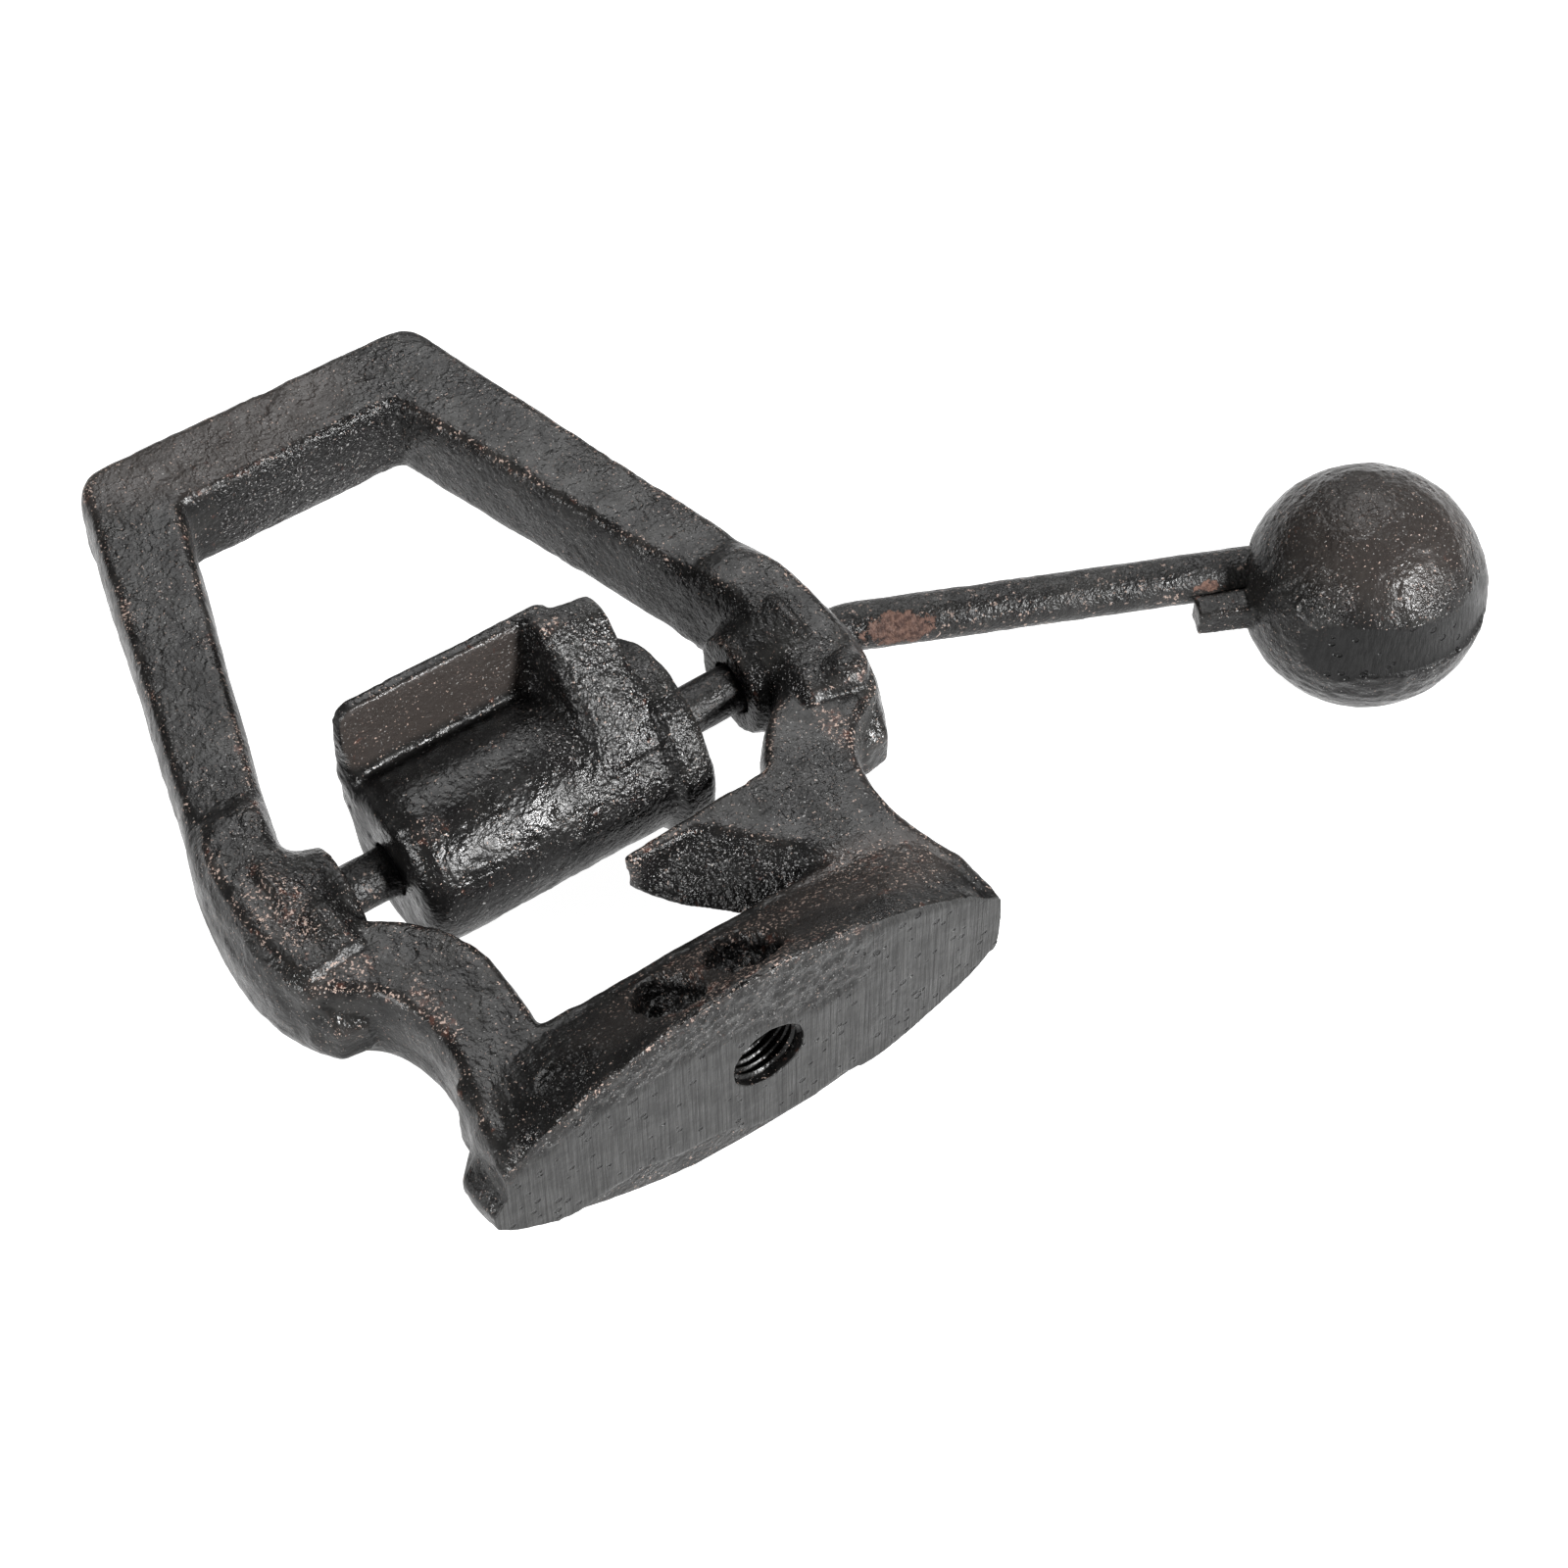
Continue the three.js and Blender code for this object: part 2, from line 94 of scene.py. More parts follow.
def hashed(cells, seed):
    """Evenly spread numbers in 0..1, one per integer cell."""
    x, y, z = (cells[:, i].astype(np.uint64) for i in range(3))
    mask = np.uint64(0xFFFFFFFF)
    h = (x * np.uint64(374761393) + y * np.uint64(668265263) + z * np.uint64(2147483647)) & mask
    h = (h + np.uint64(seed) * np.uint64(1274126177)) & mask
    h = ((h ^ (h >> np.uint64(13))) * np.uint64(1103515245)) & mask
    h = ((h ^ (h >> np.uint64(16))) * np.uint64(668265263)) & mask
    return (h ^ (h >> np.uint64(15))).astype(np.float64) / 4294967295.0


def smooth_noise(points, size, seed=0):
    """Gradient noise of about -1..1 whose lumps are about size across."""
    p = points / size + 1000.0
    cell = np.floor(p).astype(np.int64)
    f = p - cell
    u = f * f * f * (f * (f * 6 - 15) + 10)
    total = np.zeros(len(p))
    for corner in np.ndindex(2, 2, 2):
        c = np.array(corner)
        at_corner = cell + c
        angle = hashed(at_corner, seed) * 2 * math.pi
        height = hashed(at_corner, seed + 101) * 2 - 1
        ring = np.sqrt(np.maximum(0.0, 1 - height * height))
        gradient = np.stack([ring * np.cos(angle), ring * np.sin(angle), height], 1)
        weight = np.prod(np.where(c == 1, u, 1 - u), 1)
        total += weight * np.sum(gradient * (f - c), 1)
    return total * 1.6


def layered_noise(points, size, layers, seed=0):
    total = np.zeros(len(points))
    for k in range(layers):
        total += smooth_noise(points, size / 2**k, seed + 7 * k) / 2**k
    return total


def pits(points, size, seed=0):
    """Distance to the nearest of scattered points, in units of size."""
    p = points / size + 1000.0
    cell = np.floor(p).astype(np.int64)
    nearest = np.full(len(p), 9.0)
    for offset in np.ndindex(3, 3, 3):
        c = cell + np.array(offset) - 1
        spot = c + np.stack([hashed(c, seed + k) for k in (11, 23, 37)], 1)
        nearest = np.minimum(nearest, np.linalg.norm(p - spot, axis=1))
    return nearest


def step(x, low, high):
    t = np.clip((x - low) / (high - low), 0.0, 1.0)
    return t * t * (3 - 2 * t)


def bump_at(points, centre, radius):
    """1 at the centre, falling smoothly to 0 at radius, which may differ along each axis."""
    d = np.linalg.norm((points - np.array(centre)) / np.array(radius), axis=1)
    return 1 - step(d, 0.0, 1.0)


# ---- Mesh building ----


def new_object(name, mesh):
    obj = bpy.data.objects.new(name, mesh)
    bpy.context.scene.collection.objects.link(obj)
    return obj


def cad_copy(node, name):
    """A welded copy of a CAD node, in tool millimetres."""
    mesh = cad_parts[node].data.copy()
    mesh.name = name
    mesh.materials.clear()
    bm = bmesh.new()
    bm.from_mesh(mesh)
    bmesh.ops.remove_doubles(bm, verts=bm.verts, dist=2e-6)
    bm.to_mesh(mesh)
    bm.free()
    obj = new_object(name, mesh)
    put(obj, (take(obj) - ORIGIN) / MM)
    return obj


def take(obj):
    co = np.zeros(len(obj.data.vertices) * 3)
    obj.data.vertices.foreach_get("co", co)
    return co.reshape(-1, 3)


def put(obj, co):
    obj.data.vertices.foreach_set("co", np.ascontiguousarray(co, dtype=np.float32).ravel())
    obj.data.update()


def normals(obj):
    n = np.zeros(len(obj.data.vertices) * 3)
    obj.data.vertices.foreach_get("normal", n)
    return n.reshape(-1, 3)


def baked(obj):
    """Applies every modifier."""
    graph = bpy.context.evaluated_depsgraph_get()
    mesh = bpy.data.meshes.new_from_object(obj.evaluated_get(graph))
    old = obj.data
    obj.modifiers.clear()
    obj.data = mesh
    bpy.data.meshes.remove(old)


def combine(obj, other, operation):
    modifier = obj.modifiers.new("combine", "BOOLEAN")
    modifier.operation = operation
    modifier.solver = "EXACT"
    modifier.object = other
    bpy.context.view_layer.update()
    baked(obj)
    bpy.data.objects.remove(other)


def remesh(obj, size):
    modifier = obj.modifiers.new("remesh", "REMESH")
    modifier.mode = "VOXEL"
    modifier.voxel_size = size
    modifier.adaptivity = 0
    bpy.context.view_layer.update()
    baked(obj)


def edges_of(obj):
    e = np.zeros(len(obj.data.edges) * 2, dtype=np.int64)
    obj.data.edges.foreach_get("vertices", e)
    return e.reshape(-1, 2)


def relaxed(co, edges, rounds, share=0.5):
    """Moves every point towards the mean of its neighbours, rounds times."""
    count = np.bincount(edges.ravel(), minlength=len(co)).astype(float)[:, None]
    for _ in range(rounds):
        total = np.zeros_like(co)
        for axis in range(co.shape[1]):
            for near, far in ((0, 1), (1, 0)):
                total[:, axis] += np.bincount(edges[:, near], co[edges[:, far], axis], len(co))
        co = co + share * (total / count - co)
    return co


def fillet(obj, rounds, weight):
    """Fills the inside corners where weight is near 1."""
    put(obj, relaxed(take(obj), edges_of(obj), rounds, 0.5 * weight[:, None]))


def bar(name, start, end, radius):
    """A closed round bar between two points."""
    start, end = Vector(start), Vector(end)
    mesh = bpy.data.meshes.new(name)
    bm = bmesh.new()
    length = (end - start).length
    bmesh.ops.create_cone(bm, cap_ends=True, segments=48, radius1=radius, radius2=radius, depth=length)
    turn = (end - start).to_track_quat("Z", "Y").to_matrix().to_4x4()
    bm.transform(Matrix.Translation((start + end) / 2) @ turn)
    bm.to_mesh(mesh)
    bm.free()
    return new_object(name, mesh)


def weld(obj, distance):
    bm = bmesh.new()
    bm.from_mesh(obj.data)
    bmesh.ops.remove_doubles(bm, verts=bm.verts, dist=distance)
    bmesh.ops.dissolve_degenerate(bm, edges=bm.edges, dist=distance / 4)
    bm.to_mesh(obj.data)
    bm.free()


def set_mask(obj, name, values):
    """Stores one number per vertex for the materials."""
    attribute = obj.data.attributes.new(name, "FLOAT", "POINT")
    attribute.data.foreach_set("value", np.clip(values, 0, 1).astype(np.float32))


def set_masks(obj, *values):
    """Stores the masks of cast_iron, in the order of their names."""
    for name, mask in zip(CAST_MASKS, values):
        set_mask(obj, name, mask)


def finish_piece(obj, node, body, material):
    """Puts a piece in its place and lets it stand for its CAD node."""
    put(obj, take(obj) * MM + ORIGIN)
    for polygon in obj.data.polygons:
        polygon.use_smooth = True
    obj.data.materials.clear()
    obj.data.materials.append(material)
    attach(obj, body)
    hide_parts(node)


def cast_skin(obj, rounds, coarse=0.16, medium=0.11, fine=0.06, seed=1):
    """Rounds the edges and gives the surface the lumps of sand casting under thick paint.
    Returns how far each vertex stands out of its surroundings, for wear."""
    edges = edges_of(obj)
    co = relaxed(take(obj), edges, rounds)
    put(obj, co)
    n = normals(obj)
    uneven = 0.5 + step(smooth_noise(co, 15, seed + 60), -0.5, 0.5)
    lumps = (
        coarse * layered_noise(co, 13, 2, seed)
        + medium * layered_noise(co, 4.2, 2, seed + 20) * uneven
        + fine * layered_noise(co, 1.5, 2, seed + 40) * uneven
    )
    lumps -= 0.26 * (1 - step(pits(co, 6.0, seed + 3), 0.0, 0.16))
    co = co + n * lumps[:, None]
    put(obj, co)
    return np.sum((co - relaxed(co, edges, 24)) * n, 1)


def wear_mask(co, out, seed):
    """1 where an edge stands out and the paint has worn off it in patches."""
    patchy = 0.5 + 0.5 * layered_noise(co, 8, 3, seed)
    return step(out + 0.1 * patchy, 0.12, 0.42) * (0.3 + 0.7 * step(patchy, 0.3, 0.75))


def patch(co, spots):
    """The largest of several soft spots, each (centre, radius, height)."""
    total = np.zeros(len(co))
    for centre, radius, height in spots:
        total = np.maximum(total, height * step(bump_at(co, centre, radius), 0.1, 0.6))
    return total


# ---- Materials ----


class Nodes:
    """A short way to write a shader graph."""

    def __init__(self, name):
        self.material = bpy.data.materials.new(name)
        self.material.use_nodes = True
        self.tree = self.material.node_tree
        self.shader = self.tree.nodes["Principled BSDF"]
        coordinates = self.tree.nodes.new("ShaderNodeTexCoord")
        scale = self.tree.nodes.new("ShaderNodeVectorMath")
        scale.operation = "SCALE"
        scale.inputs["Scale"].default_value = 1000.0
        self.tree.links.new(coordinates.outputs["Object"], scale.inputs[0])
        self.millimetres = scale.outputs[0]

    def link(self, value, socket):
        if hasattr(value, "node"):
            self.tree.links.new(value, socket)
        else:
            socket.default_value = value

    def noise(self, size, octaves=2.0, roughness=0.5, vector=None):
        node = self.tree.nodes.new("ShaderNodeTexNoise")
        self.tree.links.new(vector or self.millimetres, node.inputs["Vector"])
        node.inputs["Scale"].default_value = 1 / size
        node.inputs["Detail"].default_value = octaves
        node.inputs["Roughness"].default_value = roughness
        return node.outputs["Fac"]

    def cells(self, size):
        node = self.tree.nodes.new("ShaderNodeTexVoronoi")
        self.tree.links.new(self.millimetres, node.inputs["Vector"])
        node.inputs["Scale"].default_value = 1 / size
        return node.outputs["Distance"]

    def stretched(self, scale):
        node = self.tree.nodes.new("ShaderNodeVectorMath")
        node.operation = "MULTIPLY"
        self.tree.links.new(self.millimetres, node.inputs[0])
        node.inputs[1].default_value = scale
        return node.outputs[0]

    def mask(self, name):
        node = self.tree.nodes.new("ShaderNodeAttribute")
        node.attribute_name = name
        return node.outputs["Fac"]

    def math(self, operation, a, b):
        node = self.tree.nodes.new("ShaderNodeMath")
        node.operation = operation
        for value, socket in zip((a, b), node.inputs):
            self.link(value, socket)
        return node.outputs[0]

    def plus(self, a, b):
        return self.math("ADD", a, b)

    def times(self, a, b):
        return self.math("MULTIPLY", a, b)

    def minus(self, a, b):
        return self.math("SUBTRACT", a, b)

    def ramp(self, value, low, high, to_low=0.0, to_high=1.0):
        node = self.tree.nodes.new("ShaderNodeMapRange")
        node.interpolation_type = "SMOOTHSTEP"
        self.link(value, node.inputs["Value"])
        node.inputs["From Min"].default_value = low
        node.inputs["From Max"].default_value = high
        node.inputs["To Min"].default_value = to_low
        node.inputs["To Max"].default_value = to_high
        return node.outputs["Result"]

    def mix(self, share, a, b):
        node = self.tree.nodes.new("ShaderNodeMix")
        node.data_type = "RGBA"
        self.link(share, node.inputs[0])
        for value, socket in ((a, node.inputs[6]), (b, node.inputs[7])):
            self.link(value if hasattr(value, "node") else (*value, 1.0), socket)
        return node.outputs[2]

    def bump(self, height, distance, strength=1.0, normal=None):
        node = self.tree.nodes.new("ShaderNodeBump")
        self.link(strength, node.inputs["Strength"])
        node.inputs["Distance"].default_value = distance * MM
        self.link(height, node.inputs["Height"])
        if normal is not None:
            self.link(normal, node.inputs["Normal"])
        return node.outputs["Normal"]


PAINT = (0.0028, 0.0027, 0.0027)
PAINT_GREY = (0.0095, 0.0092, 0.0087)
# Thinned paint on worn places, also used as painted sheen.
WORN_GREY_AND_SHEEN = (0.020, 0.017, 0.0155)
# Light grey specks painted as glints.
PAINTED_GLINT_GREY = (0.22, 0.215, 0.21)
WORN_TAN = (0.22, 0.165, 0.14)
RUST = (0.04, 0.016, 0.011)
RUST_DARK = (0.020, 0.009, 0.0065)
RUST_BROWN = (0.062, 0.034, 0.025)
# Painted shade for the pin holes in the ground iron.
PIN_HOLE_SHADE = (0.0015, 0.0015, 0.0015)
GROUND_IRON = (0.0092, 0.0092, 0.0089)
FILED_PAINT = (0.003, 0.003, 0.003)
PIN_STEEL = (0.2, 0.18, 0.16)
FLOOR_GREY = (0.35, 0.35, 0.35)

# The last two masks are painted shade and painted sheen.
CAST_MASKS = ("wear", "ground", "sand", "painted_shade", "painted_sheen")


def shade(colour, share):
    return tuple(c * share for c in colour)


def painted_colour(g, wear, sand, painted_shade, painted_sheen, seed):
    """Mottled black paint with rust, tan specks, grey specks painted as glints, painted shade and painted
    sheen. Also returns the share of tan.
    """
    mottled = g.noise(6.0 + seed, 5.0, 0.65)
    patches = g.ramp(g.noise(9.0, 4.0, 0.65), 0.45, 0.62)
    colour = g.mix(g.ramp(mottled, 0.38, 0.68), PAINT, PAINT_GREY)
    worn = g.times(wear, g.ramp(g.noise(3.0, 4.0, 0.6), 0.35, 0.65, 0.2, 0.8))
    colour = g.mix(worn, colour, WORN_GREY_AND_SHEEN)
    # Painted shade: the paint turns to its blackest.
    colour = g.mix(painted_shade, colour, PAINT)
    # Painted sheen: the paint turns a lighter, dull grey-brown.
    colour = g.mix(painted_sheen, colour, WORN_GREY_AND_SHEEN)
    rusting = g.plus(g.noise(2.0, 6.0, 0.7), g.times(wear, 0.13))
    colour = g.mix(g.ramp(rusting, 0.63, 0.72, 0.0, 0.7), colour, RUST)
    density = g.plus(g.times(wear, 0.115), g.times(patches, 0.008))
    # Fewer tan specks in the painted shade.
    density = g.minus(density, g.times(painted_shade, 0.03))
    tan_share = g.ramp(g.plus(g.noise(0.5, 3.0, 0.6), density), 0.665, 0.70)
    colour = g.mix(tan_share, colour, WORN_TAN)
    # Light grey specks painted as glints, more of them in the sand.
    glint_share = g.ramp(g.plus(g.noise(0.40, 2.0, 0.6), g.times(sand, 0.06)), 0.68, 0.73)
    colour = g.mix(g.times(glint_share, 0.65), colour, PAINTED_GLINT_GREY)
    return colour, tan_share


def ground_colour(g, bare_colour, sand, streaks, pin_holes):
    """Bare iron with grinding streaks, pin holes blackened as painted shade, and scabs of paint in the
    rough places.
    """
    colour = g.mix(g.ramp(streaks, 0.32, 0.68), shade(bare_colour, 0.45), shade(bare_colour, 1.7))
    # Painted shade: the pin holes are black.
    colour = g.mix(pin_holes, colour, PIN_HOLE_SHADE)
    scabs = g.times(sand, g.ramp(g.noise(1.3, 3.0, 0.7), 0.42, 0.52))
    return g.mix(scabs, colour, PAINT)


def cast_iron(name, bare_colour, gloss, seed=0.0):
    """Worn black paint over rough cast iron. Masks: wear (edges), ground (machined flats), sand (rough
    places), then painted shade (blackest paint) and painted sheen (lighter, dull grey-brown paint)."""
    g = Nodes(name)
    wear, ground, sand, painted_shade, painted_sheen = (g.mask(mask) for mask in CAST_MASKS)
    streaks = g.noise(0.5, 3.0, 0.6, g.stretched((1.0, 1.0, 0.035)))
    gathered = g.plus(g.cells(2.4), g.ramp(g.noise(5.0, 2.0, 0.5), 0.35, 0.65, 0.0, 0.12))
    pin_holes = g.ramp(gathered, 0.18, 0.30, 1.0, 0.0)
    painted, tan_share = painted_colour(g, wear, sand, painted_shade, painted_sheen, seed)
    bare = ground_colour(g, bare_colour, sand, streaks, pin_holes)
    g.link(g.mix(ground, painted, bare), g.shader.inputs["Base Color"])

    rough = g.ramp(g.noise(5.0, 4.0, 0.65), 0.35, 0.65, 0.25, 0.42)
    rough = g.minus(rough, g.times(sand, 0.08))
    rough = g.plus(rough, g.times(tan_share, 0.25))
    rough = g.plus(rough, g.times(ground, 0.08))
    g.link(rough, g.shader.inputs["Roughness"])
    g.shader.inputs["Specular IOR Level"].default_value = gloss

    covered = g.minus(1.0, g.times(ground, 0.85))
    sandy = g.times(covered, g.plus(0.3, sand))
    n = g.bump(g.noise(1.4, 2.0, 0.5), 0.22, covered)
    n = g.bump(g.noise(0.85, 2.0, 0.5), 0.34, sandy, n)
    n = g.bump(g.noise(0.40, 2.0, 0.6), 0.10, sandy, n)
    n = g.bump(streaks, 0.30, ground, n)
    n = g.bump(g.minus(1.0, pin_holes), 0.4, ground, n)
    g.link(n, g.shader.inputs["Normal"])
    return g.material


def rod_steel(name):
    """Worn black paint on smooth round rod. Mask chip: the patches where it has flaked to brown."""
    g = Nodes(name)
    colour = g.mix(g.ramp(g.noise(6.0, 4.0, 0.6), 0.35, 0.7), PAINT, PAINT_GREY)
    flecks = g.ramp(g.noise(0.8, 2.0, 0.7), 0.60, 0.68)
    stray = g.times(flecks, g.ramp(g.noise(9.0, 2.0, 0.5), 0.4, 0.65, 0.1, 0.8))
    colour = g.mix(stray, colour, WORN_TAN)
    ragged = g.ramp(g.plus(g.mask("chip"), g.times(g.noise(1.8, 5.0, 0.75), 1.8)), 1.38, 1.45)
    speckled = g.mix(g.ramp(g.noise(0.9, 4.0, 0.7), 0.38, 0.62), RUST_DARK, RUST_BROWN)
    g.link(g.mix(ragged, colour, speckled), g.shader.inputs["Base Color"])
    rough = g.ramp(g.noise(4.0, 3.0, 0.6), 0.35, 0.65, 0.28, 0.45)
    g.link(g.plus(rough, g.times(ragged, 0.35)), g.shader.inputs["Roughness"])
    g.shader.inputs["Specular IOR Level"].default_value = 0.22
    n = g.bump(g.noise(1.1, 2.0, 0.5), 0.3)
    n = g.bump(g.noise(0.45, 2.0, 0.5), 0.2, 1.0, n)
    n = g.bump(ragged, -0.18, 1.0, n)
    g.link(n, g.shader.inputs["Normal"])
    return g.material


def plain(name, colour, roughness, metallic=0.0):
    material = bpy.data.materials.new(name)
    material.use_nodes = True
    shader = material.node_tree.nodes["Principled BSDF"]
    shader.inputs["Base Color"].default_value = (*colour, 1.0)
    shader.inputs["Roughness"].default_value = roughness
    shader.inputs["Metallic"].default_value = metallic
    return material


IRON = cast_iron("painted_cast_iron", GROUND_IRON, 0.19)
BALL_IRON = cast_iron("painted_ball", FILED_PAINT, 0.14, 1.0)
ROD = rod_steel("painted_rod")
PIN = plain("pin_steel", PIN_STEEL, 0.5, 0.8)


# ---- Frame ----

FOOT_HALF_DEPTH = 20.3
FOOT_ARC_RADIUS = 74.0  # the foot's face is an arc above and below
FOOT_WALL = 17.5  # the foot's wall ends before this Y
HOLE_X = 1.2
THREAD_MAJOR = 6.1
THREAD_MINOR = 5.5
THREAD_PITCH = 1.27
THREAD_TURNS = 13
BORE_RADIUS = 4.45  # leaves the rod room inside the uneven casting
BORE_LEFT_X = -48.2
HUB_INNER_X = 34.6
PAD_END_Y = 76.6

# Noses and low blobs left at the bosses' ends, and one on the foot's corner: centre, radius, height.
FRAME_BLOBS = (
    ((47.0, 45.8, 9.8), (6.0, 4.6, 5.0), 1.9),
    ((40.5, 49.0, 9.4), (4.0, 5.0, 4.0), 0.7),
    ((-41.0, 51.0, 9.6), (5.5, 5.5, 5.0), 1.6),
    ((-50.2, 43.0, 8.4), (5.0, 5.0, 4.0), 0.6),
    ((-52.4, 39.2, -2.0), (5.0, 4.0, 5.0), 1.0),
    ((-38.4, 2.4, 9.9), (4.5, 3.0, 4.5), 1.1),
)
# Hollows that the casting left in the foot's upper side: centre, radius, depth.
FOOT_HOLLOWS = (
    ((-9.2, 9.4, 13.4), (7.6, 10.5, 9.5), 3.4),
    ((3.4, 10.4, 14.8), (8.6, 10.5, 10.0), 3.6),
    ((-27.0, 7.0, 11.5), (8.0, 5.0, 6.0), 0.9),
)
# Places that are rough, worn to tan, or given a painted sheen: centre, radius, strength.
ROUGH_PLACES = (
    ((-43.0, 53.0, 9.0), (9.0, 12.0, 6.0), 1.0),
    ((44.5, 50.0, 9.5), (9.0, 9.0, 5.0), 0.8),
    ((-38.2, 2.4, 9.9), (5.0, 4.0, 5.0), 1.0),
    ((45.0, 62.0, 9.0), (7.0, 14.0, 6.0), 0.5),
)
WORN_PLACES = (
    ((-46.0, 56.0, 9.5), (7.0, 15.0, 6.0), 0.65),
    ((-44.0, 41.5, 8.2), (9.0, 4.0, 3.0), 0.8),
    ((-36.5, 29.0, 8.2), (3.0, 12.0, 3.0), 0.8),
    ((2.0, 13.0, 12.0), (30.0, 8.0, 9.0), 0.7),
    ((2.0, 4.0, 19.0), (30.0, 5.0, 6.0), 0.75),
    ((28.0, 12.0, 10.0), (18.0, 13.0, 9.0), 0.5),
    ((40.0, 38.0, 8.2), (4.0, 9.0, 3.0), 0.75),
)
# Painted sheen on the up-facing faces of the foot's upper side and of the far bar's top.
SHEEN_PLACES = (
    ((0.0, 10.0, 14.0), (44.0, 12.0, 12.0), 0.55),
    ((26.0, 12.0, 10.0), (26.0, 13.0, 10.0), 1.0),
    ((-8.0, 145.0, 8.2), (40.0, 16.0, 5.0), 0.9),
)


def make_frame():
    obj = cad_copy("frame", "frame_casting")
    extend_foot(obj)
    shaft = bar("shaft_bore", (BORE_LEFT_X, SHAFT_Y, 0), (60, SHAFT_Y, 0), BORE_RADIUS)
    combine(obj, shaft, "DIFFERENCE")
    hole = bar("bolt_bore", (HOLE_X, -4, 0), (HOLE_X, 22, 0), THREAD_MAJOR)
    combine(obj, hole, "DIFFERENCE")
    remesh(obj, detail(0.55))
    soften_bosses(obj)
    out = cast_skin(obj, detail(4))

    co, n = take(obj), normals(obj)
    for centre, radius, height in FRAME_BLOBS:
        co = co + n * (height * bump_at(co, centre, radius))[:, None]
    co, hollows = with_hollows(co, n)
    co, face = ground_flat(co)
    put(obj, co)
    mask_frame(obj, out, co, hollows, face)
    put(obj, held_inside(co, frame_low, frame_high))
    weld(obj, 0.1)
    add_thread(obj)
    return obj


def extend_foot(obj):
    """Lengthens the foot past its face, so that grinding it flat leaves a sharp edge."""
    co = take(obj)
    co[co[:, 1] < 0.3, 1] = -1.5
    put(obj, co)


def soften_bosses(obj):
    """Fillets the roots of the two hubs and the far ends of the boss pads."""
    co = take(obj)
    off_shaft = np.hypot(co[:, 1] - SHAFT_Y, co[:, 2])
    across = np.abs(co[:, 0])
    root = step(across, HUB_INNER_X, HUB_INNER_X + 2.9) * (across < 45)
    root = root * step(off_shaft, 5.2, 6.6) * (off_shaft < 15)
    pad_end = (1 - step(np.abs(co[:, 1] - PAD_END_Y), 2.0, 4.5)) * step(co[:, 2], 6.0, 7.5)
    fillet(obj, detail(45), np.maximum(root, 0.85 * pad_end))


def with_hollows(co, n):
    """Ragged hollows in the foot's upper side. Also returns how deep each point lies in one."""
    upper = step(n[:, 2], 0.05, 0.4) * (co[:, 1] < FOOT_WALL)
    hollows = np.zeros(len(co))
    for centre, radius, depth in FOOT_HOLLOWS:
        edge = bump_at(co, centre, radius) + 0.10 * smooth_noise(co, 2.4, 73)
        hollows = np.maximum(hollows, depth * step(edge, 0.16, 0.30))
    hollows = hollows * upper
    ragged = 1 + 0.36 * layered_noise(co, 1.9, 2, 71)
    co = co - n * (hollows * ragged)[:, None]
    rough_side = step(12 - co[:, 1], 0, 6) * upper
    co = co + n * (0.22 * rough_side * layered_noise(co, 5.0, 3, 77))[:, None]
    return co, hollows


def foot_arc(x):
    """Half-depth of the foot's face at x."""
    angle = np.clip(np.abs(x) / FOOT_ARC_RADIUS, 0, 1.2)
    return FOOT_HALF_DEPTH - (1 - np.cos(angle)) * FOOT_ARC_RADIUS


def ground_flat(co):
    """Grinds the foot's face, but for a receding strip low on the left and the uneven upper edge.
    Also returns which points are on the face, how ground they are, and how far into that edge."""
    x, z = co[:, 0], co[:, 2]
    half_depth = foot_arc(x)

    left_strip = 6.2 * step(x, -37, -20) * (1 - step(x, -9, 4))
    right_strip = 1.9 * step(x, -6, 3) * (1 - step(x, 13, 21))
    strip = left_strip + right_strip + 0.8 * smooth_noise(co, 4.0, 81)
    sink = 1 - step(z + half_depth, strip - 0.4, strip + 0.3)
    sink = sink * step(x, -40, -35) * (1 - step(x, 16, 22))

    edge_height = 3.0 + 6.0 * (1 - step(x, -12, 16)) - 3.5 * (1 - step(x, -40, -26))
    edge_height = edge_height + 1.2 * smooth_noise(co, 4.5, 83)
    uneven = step(z, edge_height, edge_height + 2.5) * (1 - step(x, 10, 26))
    grain = 0.42 * layered_noise(co, 1.7, 2, 91) + 0.15 * smooth_noise(co, 4.0, 95)
    sink = sink + uneven * (0.28 + grain)
    sink = sink + 0.5 * step(z - half_depth + 0.8 * smooth_noise(co, 6, 85), -2.4, -0.2)

    plane = np.maximum(sink, 0.0)
    on_face = co[:, 1] < plane + 0.02
    co[:, 1] = np.maximum(co[:, 1], plane)
    ground = on_face * (1 - step(sink, 0.5, 0.9)) * (1 - 0.55 * uneven)
    return co, (on_face, ground, uneven)


